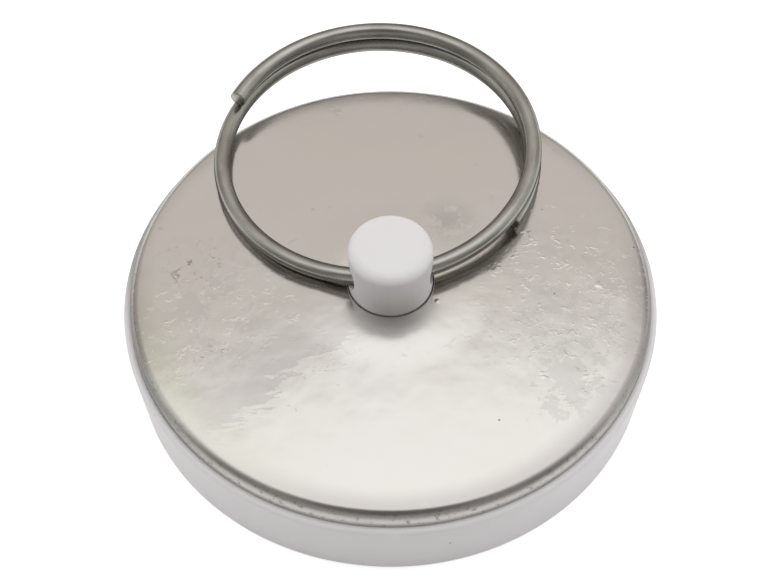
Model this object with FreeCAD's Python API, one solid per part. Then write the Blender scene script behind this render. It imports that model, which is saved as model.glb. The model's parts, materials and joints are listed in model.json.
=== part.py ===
import FreeCAD, Part
import math
import os

# Sink plug: a white rubber plug under a pressed steel cap, with a split ring through its post.
# The plug stands on its underside, and the origin lies on its axis in the plane of that underside.
# X runs along the cross hole in the post, +Y points to the side that the ring lies on, +Z is up.
# All lengths are in millimetres, all angles in degrees.

Vector = FreeCAD.Vector

# Rubber plug
base_diameter = 43.7
rim_diameter = 45.2
plug_height = 7.1
base_edge_radius = 0.4
rim_edge_radius = 0.4

# Hollow in the underside of the plug
hollow_mouth_diameter = 36.0
hollow_top_diameter = 34.0
hollow_depth = 5.4
hollow_mouth_radius = 0.5
hollow_corner_radius = 1.5

# Post moulded on the plug
post_diameter = 7.1
post_stand = 4.9
post_edge_radius = 0.8
cross_hole_edge_radius = 0.2

# Pressed cap
cap_diameter = 44.0
cap_height = 2.8
cap_sheet = 0.4
cap_crown_radius = 180.0
cap_shoulder_radius = 0.95
cap_hole_clearance = 0.45
cap_seat_clearance = 0.1

# Split ring, wound clockwise from its upper end, with its lower turn under its upper one.
# The wire goes down from one to the other between two angles, where it runs single.
ring_outer_diameter = 28.4
wire_diameter = 1.45
turn_gap = 0.45
lower_turn_growth = 0.2
ring_wind_angle = 547.5
ring_end_angle = 150.5
fall_start_angle = 183.0
fall_end_angle = 368.0
ring_lean = 1.0

# Fit of the ring in the post and on the cap
ring_pull = 0.25
ring_hole_clearance = 0.2
ring_hole_lift = 1.2
ring_lie_clearance = 0.15

# One overrun serves every cut
cut_overrun = 1.0

# Fineness of the measuring
wire_samples = 600
halvings = 40
widest_tilt = 20.0
small_angle = 0.01

# Places worked out from the sizes above
post_radius = post_diameter / 2
wire_radius = wire_diameter / 2
ring_radius = (ring_outer_diameter - wire_diameter) / 2
ring_pitch = wire_diameter + turn_gap
cap_radius = cap_diameter / 2
cap_hole_radius = post_radius + cap_hole_clearance
crown_centre_z = plug_height + cap_height - cap_crown_radius
post_top_z = plug_height + cap_height + post_stand
post_turn = ring_end_angle + 90
wire_bow = ring_radius - math.sqrt(ring_radius ** 2 - post_radius ** 2)


def crown_height(radius, crown_radius):
    """Height, at a distance from the axis, of a crown that shares the cap's centre of curvature."""
    return crown_centre_z + math.sqrt(crown_radius ** 2 - radius ** 2)


hinge_z = crown_height(cap_hole_radius, cap_crown_radius) + wire_radius + ring_hole_lift
hinge = Vector(0, 0, hinge_z)
hinge_way = Vector(1, 0, 0)


def fallen_share(turn):
    """How much of the way down from the upper turn to the lower one the wire has gone."""
    along_share = (turn - fall_start_angle) / (fall_end_angle - fall_start_angle)
    held_share = min(1, max(0, along_share))
    return held_share ** 2 * (3 - 2 * held_share)


def ring_point(turn):
    """Middle of the wire after a clockwise turn from the upper end, with the ring level about the hole."""
    angle = math.radians(ring_end_angle - turn)
    radius = ring_radius + lower_turn_growth * fallen_share(turn)
    level = Vector(
        radius * math.cos(angle),
        ring_radius - wire_bow / 2 - ring_pull + radius * math.sin(angle),
        ring_pitch * (fallen_share(post_turn) - fallen_share(turn)),
    )
    return hinge + FreeCAD.Rotation(Vector(0, -1, 0), ring_lean).multVec(level)


def ring_way(turn):
    """Direction of the wire at a turn, along its run from the upper end."""
    return (ring_point(turn + small_angle) - ring_point(turn - small_angle)).normalize()


def biarc(start, start_way, end, end_way):
    """Two arcs that leave one point and reach another along given unit directions."""
    chord = end - start
    bend = 2 * (1 - start_way.dot(end_way))
    slope = chord.dot(start_way + end_way)
    reach = (math.sqrt(slope ** 2 + bend * chord.dot(chord)) - slope) / bend
    first_tip = start + start_way * reach
    last_tip = end - end_way * reach
    meeting = (first_tip + last_tip) / 2

    def arc(tail, tip, head):
        to_tail = (tail - tip).normalize()
        to_head = (head - tip).normalize()
        half = to_tail.getAngle(to_head) / 2
        inward = (to_tail + to_head).normalize()
        middle = tip + inward * (reach / math.cos(half) - reach * math.tan(half))
        return Part.Arc(tail, middle, head).toShape()

    return [arc(start, first_tip, meeting), arc(meeting, last_tip, end)]


def ring_path():
    """Line of the wire: a pair of arcs for about each quarter turn."""
    quarters = math.ceil(ring_wind_angle / 90)
    marks = [ring_wind_angle * mark / quarters for mark in range(quarters + 1)]
    edges = []
    for first, last in zip(marks, marks[1:]):
        edges += biarc(ring_point(first), ring_way(first), ring_point(last), ring_way(last))
    return Part.Wire(edges)


def reach_in_post(points):
    """Farthest that the middle of the wire gets from the hinge's line inside the post."""
    inside = [point for point in points if math.hypot(point.x, point.y) < post_radius]
    return max(math.hypot(point.y, point.z - hinge_z) for point in inside)


wire_path = ring_path()
wire_points = wire_path.discretize(wire_samples)
cross_hole_radius = wire_radius + reach_in_post(wire_points) + ring_hole_clearance


def at(radius, height):
    """Point of a turned outline, in the plane through the axis."""
    return Vector(radius, 0, height)


def rounded_outline(corners):
    """Closed wire through corners given as (point, corner radius), with an arc at each rounded corner."""
    count = len(corners)
    stops = []
    for index, (tip, radius) in enumerate(corners):
        to_last = (corners[index - 1][0] - tip).normalize()
        to_next = (corners[(index + 1) % count][0] - tip).normalize()
        half = to_last.getAngle(to_next) / 2
        reach = radius / math.tan(half)
        inward = (to_last + to_next).normalize()
        middle = tip + inward * (radius / math.sin(half) - radius)
        stops.append((tip + to_last * reach, middle, tip + to_next * reach))
    edges = []
    for index, (entry, middle, leave) in enumerate(stops):
        if corners[index][1] > 0:
            edges.append(Part.Arc(entry, middle, leave).toShape())
        edges.append(Part.LineSegment(leave, stops[(index + 1) % count][0]).toShape())
    return Part.Wire(edges)


def turned(outline):
    """Solid of revolution of an outline about the plug's axis."""
    return Part.Face(outline).revolve(Vector(0, 0, 0), Vector(0, 0, 1), 360)


def make_plug_body():
    """Tapered rubber plug, hollow below, with the seat for the cap and the pierced post on top."""
    seat_radius = cap_radius - cap_sheet - cap_seat_clearance
    seat_crown_radius = cap_crown_radius - cap_sheet - cap_seat_clearance
    outline = rounded_outline([
        (at(0, hollow_depth), 0),
        (at(hollow_top_diameter / 2, hollow_depth), hollow_corner_radius),
        (at(hollow_mouth_diameter / 2, 0), hollow_mouth_radius),
        (at(base_diameter / 2, 0), base_edge_radius),
        (at(rim_diameter / 2, plug_height), rim_edge_radius),
        (at(seat_radius, plug_height), 0),
        (at(seat_radius, crown_height(seat_radius, seat_crown_radius)), cap_shoulder_radius),
        (at(post_radius, crown_height(post_radius, seat_crown_radius)), 0),
        (at(post_radius, post_top_z), post_edge_radius),
        (at(0, post_top_z), 0),
    ])
    reach = post_radius + cut_overrun
    cross_hole = Part.makeCylinder(cross_hole_radius, 2 * reach, hinge - hinge_way * reach, hinge_way)
    body = turned(outline).cut(cross_hole)
    mouths = [edge for edge in body.Edges if is_hole_mouth(edge)]
    return body.makeFillet(cross_hole_edge_radius, mouths)


def is_hole_mouth(edge):
    """Whether an edge runs round the cross hole where it leaves the post."""
    box = edge.BoundBox
    near_hole = abs(box.Center.z - hinge_z) < cross_hole_radius / 2
    leaves_post = abs(box.Center.x) > post_radius / 2
    return near_hole and leaves_post and box.ZLength > cross_hole_radius


def make_cap():
    """Pressed cap: a shallow crown, a rounded shoulder and a short skirt, pierced for the post."""
    shoulder_r = cap_radius - cap_shoulder_radius
    shoulder_z = crown_height(shoulder_r, cap_crown_radius - cap_shoulder_radius)
    lean = math.asin(shoulder_r / (cap_crown_radius - cap_shoulder_radius))
    half_lean = (math.pi / 2 + lean) / 2

    def skin(depth):
        """The sheet's face at a depth: its foot, its edges from there up to the hole, and its hole edge."""
        crown = cap_crown_radius - depth
        bend = cap_shoulder_radius - depth
        foot = at(cap_radius - depth, plug_height)
        bend_start = at(cap_radius - depth, shoulder_z)
        bend_middle = at(shoulder_r + bend * math.sin(half_lean), shoulder_z + bend * math.cos(half_lean))
        bend_end = at(shoulder_r + bend * math.sin(lean), shoulder_z + bend * math.cos(lean))
        half_way = (bend_end.x + cap_hole_radius) / 2
        crown_middle = at(half_way, crown_height(half_way, crown))
        hole_edge = at(cap_hole_radius, crown_height(cap_hole_radius, crown))
        edges = [
            Part.LineSegment(foot, bend_start).toShape(),
            Part.Arc(bend_start, bend_middle, bend_end).toShape(),
            Part.Arc(bend_end, crown_middle, hole_edge).toShape(),
        ]
        return foot, edges, hole_edge

    outer_foot, outer_edges, outer_hole = skin(0)
    inner_foot, inner_edges, inner_hole = skin(cap_sheet)
    hole_wall = Part.LineSegment(outer_hole, inner_hole).toShape()
    skirt_foot = Part.LineSegment(inner_foot, outer_foot).toShape()
    return turned(Part.Wire(outer_edges + [hole_wall] + inner_edges[::-1] + [skirt_foot]))


def room_under_ring(points, tilt):
    """Least room between the wire, tilted about the hole, and the crown of the cap."""
    crown_centre = Vector(0, 0, crown_centre_z)
    turn = FreeCAD.Rotation(hinge_way, tilt)
    tilted = [hinge + turn.multVec(point - hinge) for point in points]
    over_cap = [point for point in tilted if math.hypot(point.x, point.y) < cap_radius]
    heights = [point.distanceToPoint(crown_centre) - cap_crown_radius for point in over_cap]
    return min(heights) - wire_radius


def lying_tilt(points, sunk, clear):
    """Tilt, between one that sinks and one that clears, at which the ring lies just off the cap."""
    for _ in range(halvings):
        middle = (sunk + clear) / 2
        if room_under_ring(points, middle) < ring_lie_clearance:
            sunk = middle
        else:
            clear = middle
    return clear


def least_turn_gap(points):
    """Least room between stretches of the wire that lie more than half a turn apart."""
    half_turn = round(len(points) * 180 / ring_wind_angle)
    gaps = [
        point.distanceToPoint(later)
        for index, point in enumerate(points)
        for later in points[index + half_turn:]
    ]
    return min(gaps) - wire_diameter


def make_split_ring(path, tilt):
    """One wire wound about a turn and a half, with square-cut ends, tilted to lie on the cap."""
    section = Part.makeCircle(wire_radius, ring_point(0), ring_way(0))
    ring = path.makePipeShell([Part.Wire(section)], True, False)
    ring.rotate(hinge, hinge_way, tilt)
    return ring


rest_tilt = lying_tilt(wire_points, -widest_tilt, widest_tilt)
far_tilt = lying_tilt(wire_points, 180 + widest_tilt, 180 - widest_tilt)

os.makedirs("parts", exist_ok=True)
make_plug_body().exportStep("parts/plug_body.step")
make_cap().exportStep("parts/cap.step")
make_split_ring(wire_path, rest_tilt).exportStep("parts/split_ring.step")
print("height of the cross hole", round(hinge_z, 3), "diameter", round(2 * cross_hole_radius, 3))
print("tilt of the ring at rest", round(rest_tilt, 2))
print("swing of the ring to the far side", round(far_tilt - rest_tilt, 2))
print("least gap of the ring to itself", round(least_turn_gap(wire_points), 3))
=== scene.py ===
import json
import math

import bmesh
import bpy
from mathutils import Matrix, Vector, noise


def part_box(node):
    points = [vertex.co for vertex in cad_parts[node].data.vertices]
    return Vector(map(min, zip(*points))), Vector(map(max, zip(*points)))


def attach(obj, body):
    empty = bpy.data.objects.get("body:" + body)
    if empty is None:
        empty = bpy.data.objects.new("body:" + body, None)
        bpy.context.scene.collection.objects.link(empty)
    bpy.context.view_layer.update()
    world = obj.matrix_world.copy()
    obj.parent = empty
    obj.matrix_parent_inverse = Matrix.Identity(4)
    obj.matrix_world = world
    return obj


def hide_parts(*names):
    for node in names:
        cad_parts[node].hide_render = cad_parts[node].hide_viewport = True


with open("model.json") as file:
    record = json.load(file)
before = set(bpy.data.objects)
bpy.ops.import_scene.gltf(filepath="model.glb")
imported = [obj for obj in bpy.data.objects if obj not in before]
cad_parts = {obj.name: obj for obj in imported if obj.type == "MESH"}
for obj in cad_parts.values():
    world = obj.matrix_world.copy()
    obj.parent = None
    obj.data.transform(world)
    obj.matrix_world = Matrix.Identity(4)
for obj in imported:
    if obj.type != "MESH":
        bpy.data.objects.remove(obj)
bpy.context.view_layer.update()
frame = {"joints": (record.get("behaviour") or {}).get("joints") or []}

# The sink plug's finished surfaces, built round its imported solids.
# Lengths are in metres and angles in degrees, in the frame of the solids: the plug stands on z = 0.

plug_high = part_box("plug_body")[1]
cap_low, cap_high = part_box("cap")
hinge = Vector(frame["joints"][0]["pos_m"])

# Camera
photo_width_px = 780
photo_focal_px = 2362.8
camera_azimuth = -5.04
camera_elevation = 55.6
camera_distance = 0.2
near_clip = 0.002
aim_above_target = 0.00055
aim_left_of_target = 0.00004

# Rubber plug
base_radius = 0.02185
rim_radius = 0.0226
plug_edge_radius = 0.0004
hollow_mouth_radius = 0.018
hollow_top_radius = 0.017
hollow_depth = 0.0054
hollow_mouth_edge = 0.0005
hollow_corner_radius = 0.0015
seat_clearance = 0.0001
post_radius = 0.00355
post_edge_radius = 0.00085
post_crown = 0.0001
post_crown_shares = (0.8, 0.6, 0.4, 0.2)
cross_hole_radius = 0.00165
hole_cutter_length = 0.01065
rubber_unevenness = 0.00002
rubber_wave_size = 0.0032

# Pressed cap. The edge's roll is a curvature, per metre.
cap_sheet = 0.0004
crown_top = 0.00972
crown_radius = 0.225
edge_roll_start = 0.0196
edge_roll = 30
shoulder_radius = 0.00085
cap_edge_radius = 0.00012
cap_hole_radius = 0.00361
dish_depth = 0.00003
dish_radius = 0.0049
mound_height = 0.00014
mound_top_radius = 0.0052
mound_foot_radius = 0.009
crown_unevenness = 0.00001
crown_wave_size = 0.003
crown_wave_fractal = (0.6, 2.0, 3)

# Split ring. Turns are measured along the wire from its upper end.
wire_radius = 0.000725
ring_radius = 0.013475
turn_height = 0.00148
ring_wind_angle = 547.5
ring_end_angle = 150.5
fall_start_angle = 188
fall_end_angle = 345
sag_start_angles = (340, 410)
sag_end_angles = (430, 500)
turn_sag = 0.00012
ring_tilt = -1.51
ring_lean = 1.0
ring_drop = 0.00067
ring_pull = 0.000155
wire_end_bevel = 0.00008

# Fineness of the meshes
plug_segments = 240
cap_segments = 360
floor_segments = 96
longest_outline_step = 0.0005
seat_step = 0.005
crown_step = 0.0003
corner_steps = 8
shoulder_steps = 24
wire_stations = 520
wire_sides = 32
hole_sides = 64
smooth_below_angle = 35

# Textures. A noise is its scale, detail, roughness and distortion.
# Limits are where a share begins and where it ends.
mm_per_metre = 1000.0
noise_middle = 0.5
noise_span = (0.2, 0.8)
speck_randomness = 0.8
speck_core = 0.6
stroke_noise = (3.0, 0.6, 0.5)
stroke_gap_scale = 1.4
stroke_gap_noise = (3.0, 0.6)
stroke_gap_shift = (31.0, 17.0, 5.0)
stroke_gap_limits = (0.55, 0.63)

# Steel: places, reaches and limits in millimetres.
# Specks are the size of a cell, the chance of a speck in it and the share of the cell that it fills.
# Strokes are the scale of their winding and their width.
tint_noise = (0.11, 3.0)
tint_limits = (0.35, 0.65)
fringe_stretch = (0.28, 1.0, 0.28)
fringe_noise = (1.3, 8.0, 0.7, 0.2)
fringe_length = 12.0
stain_border_place = (-8.25, -8.2, 0.0)
stain_border_way = (-0.604, 0.797, 0.0)
stain_border_limits = (0.0, 0.15)
stain_fade_limits = (1.0, 9.0)
left_stain_place = (-9.5, -8.5, 9.3)
left_stain_reach = 13.0
right_stain_place = (14.0, -10.5, 9.0)
right_stain_reach = 7.5
right_stain_lift = 0.2
patch_noise = (0.55, 9.0, 0.72, 0.2)
patch_limits = (0.63, 0.66)
patch_share = 0.6
blotch_noise = (0.45, 6.0, 0.65, 0.4)
blotch_limits = (0.5, 0.55)
blotch_places = ((-16.0, -2.0, 9.1), (15.0, -4.0, 9.1))
blotch_reaches = (14.0, 14.0)
yellow_radii = (17.0, 20.6)
yellow_place = (-17.0, -9.0, 8.5)
yellow_reach = 17.0
# Painted shade: a darker band just inside the rim, strongest at the front and fading out behind
painted_brim_shade_radii = (19.2, 21.2)
painted_brim_shade_depths = (-4.0, 6.0)
smudge_place = (5.5, 6.0, 9.6)
smudge_reach = 3.4
smudge_limits = (0.42, 0.53)
scratch_stroke = (0.7, 0.06)
scratch_places = ((-16.4, 3.2, 9.1), (-14.8, -5.4, 9.1))
scratch_reaches = (4.2, 3.0)
skirt_heights = (8.1, 8.6)
# Painted shade: the skirt darkens from the front towards the sides and back
painted_skirt_shade_depths = (-19.0, -6.0)
rim_heights = (8.2, 8.66)
rim_grain_noise = (2.4, 5.0, 0.75)
grime_limits = (0.52, 0.7)
steel_specks = (1.5, 0.14, 0.08)
back_rim_radii = (19.4, 21.2)
back_rim_depths = (2.0, 12.0)
back_rim_haze = 0.6
hole_haze_radii = (4.2, 7.0)
hole_haze_depths = (-3.2, -1.6)
hole_haze_share = 0.75
stain_haze = 0.4
wave_noise = (0.3, 3.0, 0.5)
ripple_noise = (2.2, 3.0, 0.6)
ripple_height = 0.03
rim_grain_height = 0.4
wrinkle_stroke = (0.55, 0.13)
wrinkle_places = ((13.0, 3.0, 9.3), (14.0, -8.5, 9.0))
wrinkle_reaches = (11.0, 7.5)
wrinkle_height = 0.55
pimple_places = ((3.7, -2.38, 9.9), (17.4, -1.4, 9.0))
pimple_reaches = (0.28, 0.45)
pimple_height = 1.2
fleck_noise = (1.5, 4.0, 0.65, 0.3)
fleck_limits = (0.58, 0.66)
fleck_front_depths = (-9.5, -7.0)
fleck_back_depths = (0.0, 5.0)
fleck_radii = (6.0, 10.0)
fleck_height = 0.28
steel_bump = 0.00003
steel_roughness = (0.17, 0.4)
steel_colour = (0.595, 0.574, 0.556)
tinted_steel_colour = (0.592, 0.574, 0.544)
blotch_colour = (0.555, 0.543, 0.524)
# Colour of the painted shade in the band inside the rim
painted_brim_shade_colour = (0.47, 0.445, 0.43)
yellow_colour = (0.569, 0.564, 0.5)
stain_colour = (0.504, 0.485, 0.472)
smudge_colour = (0.48, 0.48, 0.458)
scratch_colour = (0.28, 0.27, 0.26)
front_skirt_colour = (0.45, 0.438, 0.424)
# Colour of the painted shade on the skirt towards the sides and back; the front colour is the dull steel
painted_shade_skirt_colour = (0.19, 0.187, 0.182)
grime_colour = (0.17, 0.16, 0.15)
steel_speck_colour = (0.16, 0.15, 0.14)

# Rubber: limits in millimetres
mottle_noise = (0.35, 4.0, 0.6)
# Painted shade along the back of the rubber's ledge, under the cap's skirt
painted_seam_shade_heights = (6.75, 7.05)
painted_seam_shade_radii = (21.0, 22.0)
painted_seam_shade_depths = (-2.0, 8.0)
rubber_specks = (2.6, 0.18, 0.07)
inside_heights = (7.05, 7.15)
inside_radii = (21.7, 21.95)
# Painted shade in the gap round the post's foot, below the cap
painted_gap_shade_heights = (9.7, 9.95)
# Painted shade on the post: darker towards its foot and down the middle of its front and back
painted_post_shade_heights = (9.9, 13.5)
painted_post_shade_widths = (0.8, 2.9)
painted_post_shade_side_share = 0.1
rubber_grain_noise = (9.0, 3.0, 0.6)
rubber_bump = 0.000004
rubber_roughness = (0.42, 0.55)
rubber_specular = 0.4
rubber_colour = (0.83, 0.815, 0.83)
pale_rubber_colour = (0.86, 0.845, 0.858)
# Colour of the painted shade on the post
painted_post_shade_colour = (0.62, 0.6, 0.585)
# Colour of the painted shade in the gap round the post
painted_gap_shade_colour = (0.3, 0.3, 0.3)
# Colour of the painted shade on the back of the ledge
painted_seam_shade_colour = (0.4, 0.39, 0.38)
rubber_speck_colour = (0.16, 0.15, 0.15)

# Wire: its textures are stretched along it
drawing_stretch = (150.0, 9000.0, 9000.0)
drawing_noise = (1.0, 3.0, 0.6)
plating_stretch = (250.0, 700.0, 700.0)
plating_noise = (1.0, 4.0, 0.6)
plating_limits = (0.3, 0.7)
wire_bump = 0.000006
wire_roughness = (0.2, 0.3)
wire_colour = (0.305, 0.3, 0.268)
pale_wire_colour = (0.415, 0.41, 0.386)
wire_edge_tint = (0.35, 0.35, 0.33)

# Floor. Its glow fades between two distances in millimetres.
floor_radius = 3.0
floor_drop = 0.00001
floor_colour = (0.78, 0.78, 0.78)
glow_colour = (1.0, 1.0, 1.0)
glow_distances = (100.0, 500.0)
near_glow = 0.66
far_glow = 0.2

# Surroundings. Limits are parts of a unit vector.
sky_strength = 1.45
sky_colour = (1.0, 1.0, 0.995)
back_colour = (0.58, 0.546, 0.516)
front_colour = (0.335, 0.327, 0.316)
back_limits = (0.42, 0.6)
back_slant = -0.14
back_bend = 0.19
front_limits = (-0.45, 0.05)
side_limits = (0.25, 0.85)
side_share = 0.58
viewer_limits = (0.85, 0.995)
viewer_share = 0.4
horizon_limits = (0.74, 0.93)
horizon_share = 0.36

# Lamps: name, azimuth, elevation, width, length and radiance
softbox_distance = 0.8
watts_per_radiance = 4
softboxes = (
    ("overhead_softbox", 180, 80, 0.6, 0.6, 0.35),
    ("left_softbox", -105, 25, 0.6, 0.5, 0.5),
    ("right_softbox", 105, 25, 0.6, 0.5, 0.5),
)

plug_height = cap_low.z
cap_radius = cap_high.x
post_top = plug_high.z
crown_centre_z = crown_top - crown_radius
post_turn = ring_end_angle + 90


# Outlines

def rounded(corners, steps):
    """Outline through corners of (radius, height, rounding), with an arc at each rounded one."""
    outline = []
    count = len(corners)
    for index, (radius, height, rounding) in enumerate(corners):
        tip = Vector((radius, height))
        if rounding == 0:
            outline.append(tip)
            continue
        to_last = (Vector(corners[index - 1][:2]) - tip).normalized()
        to_next = (Vector(corners[(index + 1) % count][:2]) - tip).normalized()
        half = to_last.angle(to_next) / 2
        inward = (to_last + to_next).normalized()
        centre = tip + inward * (rounding / math.sin(half))
        start = tip + to_last * (rounding / math.tan(half)) - centre
        sweep = start.angle_signed(tip + to_next * (rounding / math.tan(half)) - centre)
        for step in range(steps + 1):
            outline.append(centre + Matrix.Rotation(-sweep * step / steps, 2) @ start)
    return outline


def divided(outline, longest):
    """The same open outline with its long stretches cut into even steps."""
    points = [outline[0]]
    for start, end in zip(outline, outline[1:]):
        cuts = max(1, math.ceil((end - start).length / longest))
        points += [start.lerp(end, cut / cuts) for cut in range(1, cuts + 1)]
    return points


def turned(name, outline, segments, closed):
    """Object turned from an outline about the z axis. A closed one joins its last point to its first."""
    mesh = bmesh.new()
    rings = []
    for radius, height in outline:
        places = segments if radius > 0 else 1
        angles = [2 * math.pi * step / segments for step in range(places)]
        points = [(radius * math.cos(a), radius * math.sin(a), height) for a in angles]
        rings.append([mesh.verts.new(point) for point in points])
    followers = rings[1:] + (rings[:1] if closed else [])
    for ring, follower in zip(rings, followers):
        for step in range(segments):
            after = (step + 1) % segments
            corners = [
                ring[step % len(ring)],
                ring[after % len(ring)],
                follower[after % len(follower)],
                follower[step % len(follower)],
            ]
            mesh.faces.new(dict.fromkeys(corners))
    bmesh.ops.recalc_face_normals(mesh, faces=mesh.faces)
    return as_object(name, mesh)


def as_object(name, mesh):
    """Scene object that takes over a bmesh."""
    data = bpy.data.meshes.new(name)
    mesh.to_mesh(data)
    mesh.free()
    return linked(name, data)


def linked(name, data):
    """New object in the scene."""
    made = bpy.data.objects.new(name, data)
    bpy.context.scene.collection.objects.link(made)
    return made


def smoothed(piece):
    """The same piece with smooth shading, apart from its sharp edges."""
    piece.data.shade_smooth()
    piece.data.set_sharp_from_angle(angle=math.radians(smooth_below_angle))
    return piece


def straight_share(value, start, end):
    """Share of the way from a start to an end, from 0 to 1."""
    return min(1, max(0, (value - start) / (end - start)))


def eased_share(value, start, end):
    """Smooth step of a value from 0 at a start to 1 at an end."""
    share = straight_share(value, start, end)
    return share ** 2 * (3 - 2 * share)


def crown_height(radius, depth):
    """Height of the cap's sheet, or of what lies a depth below it, at a distance from the axis."""
    arc = math.sqrt((crown_radius - depth) ** 2 - radius ** 2)
    dish = dish_depth * (1 - eased_share(radius, cap_hole_radius, dish_radius))
    mound = mound_height * (1 - eased_share(radius, mound_top_radius, mound_foot_radius))
    rolled = edge_roll * max(0, radius - edge_roll_start) ** 2
    return crown_centre_z + arc + mound - dish - rolled


def steps_between(start, end, longest):
    """Values strictly between two ends, evenly spaced."""
    cuts = math.ceil(abs(end - start) / longest)
    return [start + (end - start) * cut / cuts for cut in range(1, cuts)]


# Pieces

def make_plug():
    """Rubber plug with its hollow underside, its seat under the cap and its pierced post."""
    seat_depth = cap_sheet + seat_clearance
    seat_radius = cap_radius - seat_depth
    crown = steps_between(seat_radius, post_radius, seat_step)
    dome = [
        (post_radius * share, post_top - post_crown * share ** 2, 0)
        for share in post_crown_shares
    ]
    corners = [
        (0, hollow_depth, 0),
        (hollow_top_radius, hollow_depth, hollow_corner_radius),
        (hollow_mouth_radius, 0, hollow_mouth_edge),
        (base_radius, 0, plug_edge_radius),
        (rim_radius, plug_height, plug_edge_radius),
        (seat_radius, plug_height, 0),
        (seat_radius, crown_height(seat_radius, seat_depth), shoulder_radius),
        *[(radius, crown_height(radius, seat_depth), 0) for radius in crown],
        (post_radius, crown_height(post_radius, seat_depth), 0),
        (post_radius, post_top - post_crown, post_edge_radius),
        *dome,
        (0, post_top, 0),
    ]
    outline = divided(rounded(corners, corner_steps), longest_outline_step)
    plug = turned("rubber_plug", outline, plug_segments, closed=False)
    pierce(plug)
    for vertex in plug.data.vertices:
        wave = (1 + noise.noise(vertex.co / rubber_wave_size)) / 2
        spread = Vector((vertex.co.x, vertex.co.y, 0))
        if spread.length > post_radius and vertex.co.z > 0:
            vertex.co -= spread.normalized() * rubber_unevenness * wave
    return smoothed(plug)


def pierce(plug):
    """Cuts the cross hole through the post."""
    cutter_mesh = bmesh.new()
    along_x = Matrix.Translation(hinge) @ Matrix.Rotation(math.pi / 2, 4, "Y")
    bmesh.ops.create_cone(
        cutter_mesh,
        cap_ends=True,
        segments=hole_sides,
        radius1=cross_hole_radius,
        radius2=cross_hole_radius,
        depth=hole_cutter_length,
        matrix=along_x,
    )
    cutter = as_object("hole_cutter", cutter_mesh)
    cut = plug.modifiers.new("cross_hole", "BOOLEAN")
    cut.operation = "DIFFERENCE"
    cut.solver = "EXACT"
    cut.object = cutter
    graph = bpy.context.evaluated_depsgraph_get()
    pierced = bpy.data.meshes.new_from_object(plug.evaluated_get(graph))
    plug.modifiers.clear()
    plug.data = pierced
    bpy.data.objects.remove(cutter)


def sheet_face(depth):
    """Face of the cap's sheet at a depth, from its skirt over the rolled shoulder to its hole."""
    skirt_radius = cap_radius - depth
    roll = shoulder_radius - depth
    points = []
    for step in range(shoulder_steps + 1):
        angle = math.pi / 2 * (1 - step / shoulder_steps)
        radius = skirt_radius - roll * (1 - math.sin(angle))
        points.append((radius, crown_height(radius, depth) - roll * (1 - math.cos(angle)), 0))
    crown = steps_between(skirt_radius - roll, cap_hole_radius, crown_step)
    return points + [(radius, crown_height(radius, depth), 0) for radius in crown]


def make_cap():
    """Pressed cap: a crown with a low mound dished round its hole, a rolled shoulder, a short skirt."""
    corners = [
        (cap_radius, plug_height, cap_edge_radius),
        *sheet_face(0),
        (cap_hole_radius, crown_height(cap_hole_radius, 0), cap_edge_radius),
        (cap_hole_radius, crown_height(cap_hole_radius, cap_sheet), cap_edge_radius),
        *reversed(sheet_face(cap_sheet)),
        (cap_radius - cap_sheet, plug_height, cap_edge_radius),
    ]
    cap = turned("steel_cap", rounded(corners, corner_steps), cap_segments, closed=True)
    for vertex in cap.data.vertices:
        across = math.hypot(vertex.co.x, vertex.co.y)
        if across < cap_radius - shoulder_radius:
            wave = noise.fractal(vertex.co / crown_wave_size, *crown_wave_fractal)
            vertex.co.z += crown_unevenness * wave
    return smoothed(cap)


def fallen_share(turn):
    """How much of the way down from the upper turn to the lower one the wire has gone."""
    return straight_share(turn, fall_start_angle, fall_end_angle)


def sagged_share(turn):
    """How far the lower turn hangs away from the upper one behind the cap."""
    return eased_share(turn, *sag_start_angles) - eased_share(turn, *sag_end_angles)


def ring_point(turn):
    """Middle of the wire after a clockwise turn from its upper end, at rest on the cap."""
    angle = math.radians(ring_end_angle - turn)
    wire_bow = ring_radius - math.sqrt(ring_radius ** 2 - post_radius ** 2)
    middle_y = ring_radius - wire_bow / 2 - ring_pull
    above_hinge = turn_height * (fallen_share(post_turn) - fallen_share(turn))
    level = Vector((
        ring_radius * math.cos(angle),
        middle_y + ring_radius * math.sin(angle),
        above_hinge - turn_sag * sagged_share(turn),
    ))
    lean = Matrix.Rotation(math.radians(-ring_lean), 3, "Y")
    tilt = Matrix.Rotation(math.radians(ring_tilt), 3, "X")
    return hinge + tilt @ lean @ level - Vector((0, 0, ring_drop))


def wire_rings():
    """Middle and radius of each ring of the wire's mesh, with the edges of its two ends broken."""
    turns = [ring_wind_angle * station / wire_stations for station in range(wire_stations + 1)]
    middles = [ring_point(turn) for turn in turns]
    stations = [(middle, wire_radius) for middle in middles]
    for end, neighbour in ((0, 1), (-1, -2)):
        inward = (middles[neighbour] - middles[end]).normalized()
        stations[end] = (middles[end] + inward * wire_end_bevel, wire_radius)
    first = (middles[0], wire_radius - wire_end_bevel)
    last = (middles[-1], wire_radius - wire_end_bevel)
    return [first, *stations, last]


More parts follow.
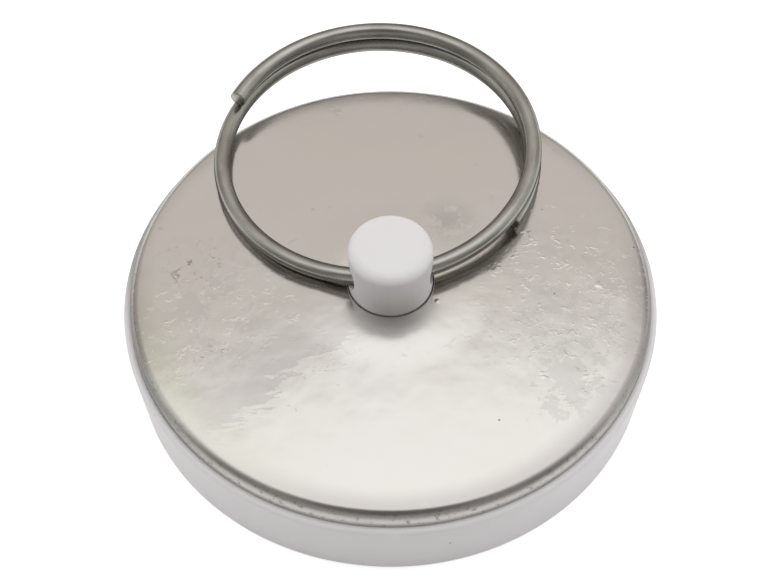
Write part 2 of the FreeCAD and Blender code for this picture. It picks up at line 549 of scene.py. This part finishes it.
def make_ring():
    """One wire wound about a turn and a half. Its wire_place runs along and across the wire."""
    mesh = bmesh.new()
    places = mesh.verts.layers.float_vector.new("wire_place")
    stations = wire_rings()
    rings = []
    along = 0
    for index, (middle, radius) in enumerate(stations):
        before = stations[max(0, index - 1)][0]
        after = stations[min(len(stations) - 1, index + 1)][0]
        way = (after - before).normalized()
        side = way.cross(Vector((0, 0, 1))).normalized()
        top = side.cross(way)
        along += (middle - before).length
        ring = []
        for step in range(wire_sides):
            angle = 2 * math.pi * step / wire_sides
            spoke = side * math.cos(angle) + top * math.sin(angle)
            vertex = mesh.verts.new(middle + spoke * radius)
            vertex[places] = (along, wire_radius * math.cos(angle), wire_radius * math.sin(angle))
            ring.append(vertex)
        rings.append(ring)
    for ring, follower in zip(rings, rings[1:]):
        for step in range(wire_sides):
            after = (step + 1) % wire_sides
            mesh.faces.new((ring[step], ring[after], follower[after], follower[step]))
    mesh.faces.new(rings[0])
    mesh.faces.new(rings[-1])
    bmesh.ops.recalc_face_normals(mesh, faces=mesh.faces)
    return smoothed(as_object("wire_ring", mesh))


# Shader nodes

def join(tree, socket, value):
    """Feeds a socket from another socket, or sets it to a plain value."""
    if isinstance(value, bpy.types.NodeSocket):
        tree.links.new(value, socket)
    else:
        socket.default_value = value


def add(tree, kind, inputs, **settings):
    """New shader node with its settings and inputs."""
    made = tree.nodes.new("ShaderNode" + kind)
    for name, value in settings.items():
        setattr(made, name, value)
    for key, value in inputs.items():
        join(tree, made.inputs[key], value)
    return made


def calc(tree, operation, *values):
    """Result of a sum on numbers."""
    return add(tree, "Math", dict(enumerate(values)), operation=operation).outputs[0]


def product(tree, first, *others):
    """Shares multiplied with each other."""
    for other in others:
        first = calc(tree, "MULTIPLY", first, other)
    return first


def strongest(tree, first, *others):
    """Largest of several shares."""
    for other in others:
        first = calc(tree, "MAXIMUM", first, other)
    return first


def vector_calc(tree, operation, *values):
    """Vector that results from a sum on vectors."""
    return add(tree, "VectorMath", dict(enumerate(values)), operation=operation).outputs["Vector"]


def vector_measure(tree, operation, *values):
    """Number that results from a sum on vectors."""
    return add(tree, "VectorMath", dict(enumerate(values)), operation=operation).outputs["Value"]


def eased(tree, value, limits, from_share=0.0, to_share=1.0):
    """Smooth step of a value between two limits."""
    low, high = limits
    inputs = {
        "Value": value,
        "From Min": low,
        "From Max": high,
        "To Min": from_share,
        "To Max": to_share,
    }
    return add(tree, "MapRange", inputs, interpolation_type="SMOOTHSTEP").outputs["Result"]


def faded(tree, value, limits, to_share=0.0):
    """Smooth step of a value down from 1 between two limits."""
    return eased(tree, value, limits, 1.0, to_share)


def cloud(tree, place, scale, detail, roughness=0.5, distortion=0.0):
    """Fractal noise about a half."""
    inputs = {
        "Vector": place,
        "Scale": scale,
        "Detail": detail,
        "Roughness": roughness,
        "Distortion": distortion,
    }
    return add(tree, "TexNoise", inputs).outputs[0]


def opaque(paint):
    """Colour with full cover. A socket stays as it is."""
    return (*paint, 1.0) if isinstance(paint, tuple) else paint


def blended(tree, share, low, high):
    """Colour between two colours."""
    share_input, low_input, high_input, result_output = 0, 6, 7, 2
    inputs = {share_input: share, low_input: opaque(low), high_input: opaque(high)}
    return add(tree, "Mix", inputs, data_type="RGBA").outputs[result_output]


def layered(tree, base, *layers):
    """Colour under further colours, each laid on with its share."""
    for share, paint in layers:
        base = blended(tree, share, base, paint)
    return base


def relief(tree, heights, *marks):
    """Heights with further marks on them, each with its own height."""
    for mark, height in marks:
        heights = calc(tree, "MULTIPLY_ADD", mark, height, heights)
    return heights


def new_material(name):
    """Material with its node tree and its main shader."""
    material = bpy.data.materials.new(name)
    material.use_nodes = True
    return material, material.node_tree, material.node_tree.nodes["Principled BSDF"]


def finish_surface(tree, shader, base, roughness, heights, bump_height):
    """Gives a shader its colour, its roughness and its fine relief."""
    bump = add(tree, "Bump", {"Height": heights, "Distance": bump_height, "Strength": 1.0})
    join(tree, shader.inputs["Base Color"], base)
    join(tree, shader.inputs["Roughness"], roughness)
    join(tree, shader.inputs["Normal"], bump.outputs["Normal"])


def place_in_mm(tree):
    """Place on the piece in millimetres."""
    place = add(tree, "TexCoord", {}).outputs["Object"]
    return vector_calc(tree, "MULTIPLY", place, (mm_per_metre, mm_per_metre, mm_per_metre))


def specks(tree, place, cell_mm, chance, size_share):
    """Scattered round specks, one at most in each cell: 1 in the middle, 0 outside."""
    cell = {"Vector": place, "Scale": 1 / cell_mm, "Randomness": speck_randomness}
    cells = add(tree, "TexVoronoi", cell)
    draw = add(tree, "SeparateColor", {"Color": cells.outputs["Color"]})
    size = product(tree, draw.outputs["Green"], size_share)
    speck = faded(tree, cells.outputs["Distance"], (product(tree, size, speck_core), size))
    return product(tree, speck, calc(tree, "LESS_THAN", draw.outputs["Red"], chance))


def strokes(tree, place, scale, width):
    """Broken winding lines: 1 along the middle, 0 outside a width."""
    winding = calc(tree, "SUBTRACT", cloud(tree, place, scale, *stroke_noise), noise_middle)
    line = faded(tree, calc(tree, "ABSOLUTE", winding), (0.0, width * scale))
    elsewhere = vector_calc(tree, "ADD", place, stroke_gap_shift)
    gaps = cloud(tree, elsewhere, stroke_gap_scale * scale, *stroke_gap_noise)
    return product(tree, line, eased(tree, gaps, stroke_gap_limits))


def around(tree, place, centre, reach):
    """Share that is 1 at a point and falls to 0 at a reach from it."""
    return faded(tree, vector_measure(tree, "DISTANCE", place, centre), (0.0, reach))


def near_any(tree, place, centres, reaches):
    """Share that is 1 at each of several points and falls to 0 at its reach."""
    shares = [around(tree, place, centre, reach) for centre, reach in zip(centres, reaches)]
    return strongest(tree, *shares)


def from_axis(tree, place):
    """Distance from the plug's axis."""
    return vector_measure(tree, "LENGTH", vector_calc(tree, "MULTIPLY", place, (1.0, 1.0, 0.0)))


# Materials

def make_steel():
    """Polished sheet: a hazy mirror with stains, scratches, wrinkles and flecks, a dull skirt, and
    painted shade in a band inside the rim at the front and on the skirt away from the front.
    """
    material, tree, shader = new_material("polished_sheet")
    place = place_in_mm(tree)
    parts = add(tree, "SeparateXYZ", {0: place}).outputs
    depth = parts["Y"]
    height = parts["Z"]
    across = from_axis(tree, place)

    # Stains: a torn one at the left, patches at the right
    fringes = vector_calc(tree, "MULTIPLY", place, fringe_stretch)
    ragged = calc(tree, "SUBTRACT", cloud(tree, fringes, *fringe_noise), noise_middle)
    from_border = vector_calc(tree, "SUBTRACT", place, stain_border_place)
    past_border = vector_measure(tree, "DOT_PRODUCT", from_border, stain_border_way)
    torn = relief(tree, past_border, (ragged, fringe_length))
    left_stain = product(
        tree,
        eased(tree, torn, stain_border_limits),
        faded(tree, past_border, stain_fade_limits),
        around(tree, place, left_stain_place, left_stain_reach),
    )
    right_side = around(tree, place, right_stain_place, right_stain_reach)
    patchy = relief(tree, cloud(tree, place, *patch_noise), (right_side, right_stain_lift))
    stain = strongest(tree, left_stain, eased(tree, patchy, patch_limits, 0.0, patch_share))

    # Other marks, and painted shade inside the rim and on the skirt
    tint = eased(tree, cloud(tree, place, *tint_noise), tint_limits)
    blotches = eased(tree, cloud(tree, place, *blotch_noise), blotch_limits)
    blotches = product(tree, blotches, near_any(tree, place, blotch_places, blotch_reaches))
    yellow = eased(tree, across, yellow_radii)
    yellow = product(tree, yellow, around(tree, place, yellow_place, yellow_reach))
    # Painted shade: a darker band just inside the rim, strongest at the front and fading out behind
    painted_brim_shade = product(tree, eased(tree, across, painted_brim_shade_radii), faded(tree, depth, painted_brim_shade_depths))
    smudge = around(tree, place, smudge_place, smudge_reach)
    smudge = product(tree, smudge, eased(tree, patchy, smudge_limits))
    scratches = strokes(tree, place, *scratch_stroke)
    scratches = product(tree, scratches, near_any(tree, place, scratch_places, scratch_reaches))
    skirt = faded(tree, height, skirt_heights)
    rim = faded(tree, height, rim_heights)
    grain = cloud(tree, place, *rim_grain_noise)
    grime = product(tree, eased(tree, grain, grime_limits), rim)
    dirt = specks(tree, place, *steel_specks)
    # Dull skirt steel at the front, with painted shade darkening it towards the sides and back
    dull_skirt_and_painted_shade = blended(tree, eased(tree, depth, painted_skirt_shade_depths), front_skirt_colour, painted_shade_skirt_colour)
    base = layered(
        tree,
        blended(tree, tint, steel_colour, tinted_steel_colour),
        (blotches, blotch_colour),
        (painted_brim_shade, painted_brim_shade_colour),
        (yellow, yellow_colour),
        (stain, stain_colour),
        (smudge, smudge_colour),
        (scratches, scratch_colour),
        (skirt, dull_skirt_and_painted_shade),
        (grime, grime_colour),
        (dirt, steel_speck_colour),
    )

    # Relief
    wrinkles = strokes(tree, place, *wrinkle_stroke)
    wrinkles = product(tree, wrinkles, near_any(tree, place, wrinkle_places, wrinkle_reaches))
    flecks = product(
        tree,
        eased(tree, cloud(tree, place, *fleck_noise), fleck_limits),
        eased(tree, depth, fleck_front_depths),
        faded(tree, depth, fleck_back_depths),
        eased(tree, across, fleck_radii),
    )
    heights = relief(
        tree,
        cloud(tree, place, *wave_noise),
        (cloud(tree, place, *ripple_noise), ripple_height),
        (product(tree, grain, rim), rim_grain_height),
        (wrinkles, wrinkle_height),
        (near_any(tree, place, pimple_places, pimple_reaches), pimple_height),
        (flecks, fleck_height),
    )

    # Haze
    back_rim = eased(tree, across, back_rim_radii)
    back_rim = product(tree, back_rim, eased(tree, depth, back_rim_depths, 0.0, back_rim_haze))
    hole_haze = eased(tree, across, hole_haze_radii, hole_haze_share, 0.0)
    hole_haze = product(tree, hole_haze, faded(tree, depth, hole_haze_depths))
    haze = strongest(tree, product(tree, stain, stain_haze), skirt, back_rim, hole_haze)
    roughness = eased(tree, haze, (0.0, 1.0), *steel_roughness)
    finish_surface(tree, shader, base, roughness, heights, steel_bump)
    shader.inputs["Metallic"].default_value = 1.0
    return material


def make_rubber():
    """Moulded satin rubber: a lavender cast, soft mottling, specks, and painted shade on the back of the
    ledge under the cap, in the gap round the post and down the middle of the post.
    """
    material, tree, shader = new_material("satin_rubber")
    place = place_in_mm(tree)
    parts = add(tree, "SeparateXYZ", {0: place}).outputs
    height = parts["Z"]
    across = from_axis(tree, place)
    mottle = cloud(tree, place, *mottle_noise)
    # Painted shade along the back of the rubber's ledge, under the cap's skirt
    painted_seam_shade = product(
        tree,
        eased(tree, height, painted_seam_shade_heights),
        eased(tree, across, painted_seam_shade_radii),
        eased(tree, parts["Y"], painted_seam_shade_depths),
    )
    inside = product(tree, eased(tree, height, inside_heights), faded(tree, across, inside_radii))
    # Painted shade in the gap round the post's foot, below the cap
    painted_gap_shade = product(tree, faded(tree, height, painted_gap_shade_heights), inside)
    to_side = calc(tree, "ABSOLUTE", parts["X"])
    # Painted shade on the post: darker towards its foot and down the middle of its front and back
    painted_post_shade = product(
        tree,
        faded(tree, height, painted_post_shade_heights),
        inside,
        faded(tree, to_side, painted_post_shade_widths, painted_post_shade_side_share),
    )
    base = layered(
        tree,
        blended(tree, mottle, rubber_colour, pale_rubber_colour),
        (painted_post_shade, painted_post_shade_colour),
        (painted_gap_shade, painted_gap_shade_colour),
        (painted_seam_shade, painted_seam_shade_colour),
        (specks(tree, place, *rubber_specks), rubber_speck_colour),
    )
    roughness = eased(tree, mottle, noise_span, *rubber_roughness)
    grain = cloud(tree, place, *rubber_grain_noise)
    finish_surface(tree, shader, base, roughness, grain, rubber_bump)
    shader.inputs["Specular IOR Level"].default_value = rubber_specular
    return material


def make_wire():
    """Dull plated wire with fine drawing lines along it."""
    material, tree, shader = new_material("plated_wire")
    place = add(tree, "Attribute", {}, attribute_name="wire_place").outputs["Vector"]
    lines = cloud(tree, vector_calc(tree, "MULTIPLY", place, drawing_stretch), *drawing_noise)
    plating = cloud(tree, vector_calc(tree, "MULTIPLY", place, plating_stretch), *plating_noise)
    base = blended(tree, eased(tree, plating, plating_limits), wire_colour, pale_wire_colour)
    roughness = eased(tree, lines, noise_span, *wire_roughness)
    finish_surface(tree, shader, base, roughness, lines, wire_bump)
    shader.inputs["Metallic"].default_value = 1.0
    shader.inputs["Specular Tint"].default_value = opaque(wire_edge_tint)
    return material


def make_floor_finish():
    """Pale floor that shows as white, keeps the shadow and lets a view from below through."""
    material, tree, shader = new_material("pale_floor")
    tree.nodes.remove(shader)
    diffuse = add(tree, "BsdfDiffuse", {"Color": opaque(floor_colour)})
    path = add(tree, "LightPath", {}).outputs
    shown_to = ("Is Camera Ray", "Is Glossy Ray", "Is Transmission Ray")
    seen = strongest(tree, *[path[ray] for ray in shown_to])
    away = vector_measure(tree, "LENGTH", place_in_mm(tree))
    level = product(tree, seen, eased(tree, away, glow_distances, near_glow, far_glow))
    glow = add(tree, "Emission", {"Color": opaque(glow_colour), "Strength": level})
    lit = add(tree, "AddShader", {0: diffuse.outputs[0], 1: glow.outputs[0]})
    clear = add(tree, "BsdfTransparent", {})
    below = add(tree, "NewGeometry", {}).outputs["Backfacing"]
    both = add(tree, "MixShader", {0: below, 1: lit.outputs[0], 2: clear.outputs[0]})
    join(tree, tree.nodes["Material Output"].inputs["Surface"], both.outputs[0])
    return material


# Stage and light

def from_above(azimuth, elevation):
    """Unit vector towards a place in the sky, with azimuth 0 towards the photograph's viewer."""
    a = math.radians(azimuth + camera_azimuth)
    e = math.radians(elevation)
    return Vector((math.sin(a) * math.cos(e), -math.cos(a) * math.cos(e), math.sin(e)))


def add_softbox(name, azimuth, elevation, width, length, radiance):
    """Soft lamp that faces the plug. Its power follows from its size and its radiance."""
    lamp = bpy.data.lights.new(name, "AREA")
    lamp.shape = "RECTANGLE"
    lamp.size = width
    lamp.size_y = length
    lamp.energy = watts_per_radiance * radiance * width * length
    made = linked(name, lamp)
    way = from_above(azimuth, elevation)
    made.location = way * softbox_distance
    made.visible_glossy = False
    made.rotation_mode = "QUATERNION"
    made.rotation_quaternion = way.to_track_quat("Z", "Y")


def make_world():
    """Plain studio: pale above, warm grey behind, dimmer at the sides, the front and the viewer."""
    world = bpy.data.worlds.new("studio")
    bpy.context.scene.world = world
    world.use_nodes = True
    tree = world.node_tree
    way = add(tree, "TexCoord", {}).outputs["Generated"]
    rotation = {"Vector": way, "Angle": math.radians(-camera_azimuth)}
    turned_way = add(tree, "VectorRotate", rotation, rotation_type="Z_AXIS").outputs["Vector"]
    parts = add(tree, "SeparateXYZ", {0: turned_way}).outputs
    to_side = calc(tree, "ABSOLUTE", parts["X"])
    to_back = parts["Y"]
    to_viewer = vector_measure(tree, "DOT_PRODUCT", way, from_above(0, camera_elevation))
    slanted = relief(tree, to_back, (to_side, back_bend), (parts["X"], back_slant))
    sky = blended(tree, eased(tree, slanted, back_limits), sky_colour, back_colour)
    sky = blended(tree, eased(tree, to_back, front_limits), front_colour, sky)
    strength = product(
        tree,
        faded(tree, to_side, side_limits, side_share),
        faded(tree, to_viewer, viewer_limits, viewer_share),
        faded(tree, to_back, horizon_limits, horizon_share),
        sky_strength,
    )
    background = tree.nodes["Background"]
    join(tree, background.inputs["Color"], sky)
    join(tree, background.inputs["Strength"], strength)


def make_floor():
    """Large round floor under the plug."""
    mesh = bmesh.new()
    bmesh.ops.create_circle(mesh, cap_ends=True, radius=floor_radius, segments=floor_segments)
    floor = as_object("floor", mesh)
    floor.location.z = -floor_drop
    floor.data.materials.append(make_floor_finish())


def make_camera():
    """Camera at the photograph's place, aimed so that the plug lands where it does there."""
    data = bpy.data.cameras.new("photo_view")
    data.lens = data.sensor_width * photo_focal_px / photo_width_px
    data.clip_start = near_clip
    camera = linked("photo_view", data)
    target = Vector((0, 0, plug_height))
    back = from_above(0, camera_elevation)
    right = Vector((0, 0, 1)).cross(back).normalized()
    up = back.cross(right)
    aim = target + up * aim_above_target - right * aim_left_of_target
    camera.location = target + back * camera_distance
    camera.rotation_mode = "QUATERNION"
    camera.rotation_quaternion = (aim - camera.location).to_track_quat("-Z", "Y")
    bpy.context.scene.camera = camera


# The dressed plug

def dress(piece, node, body, material):
    """Gives a piece its finish and puts it in the place of its solid."""
    piece.data.materials.clear()
    piece.data.materials.append(material)
    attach(piece, body)
    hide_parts(node)


dress(make_plug(), "plug_body", "plug", make_rubber())
dress(make_cap(), "cap", "plug", make_steel())
dress(make_ring(), "split_ring", "ring", make_wire())

make_floor()
make_world()
for softbox in softboxes:
    add_softbox(*softbox)
make_camera()
bpy.context.scene.view_settings.view_transform = "Standard"
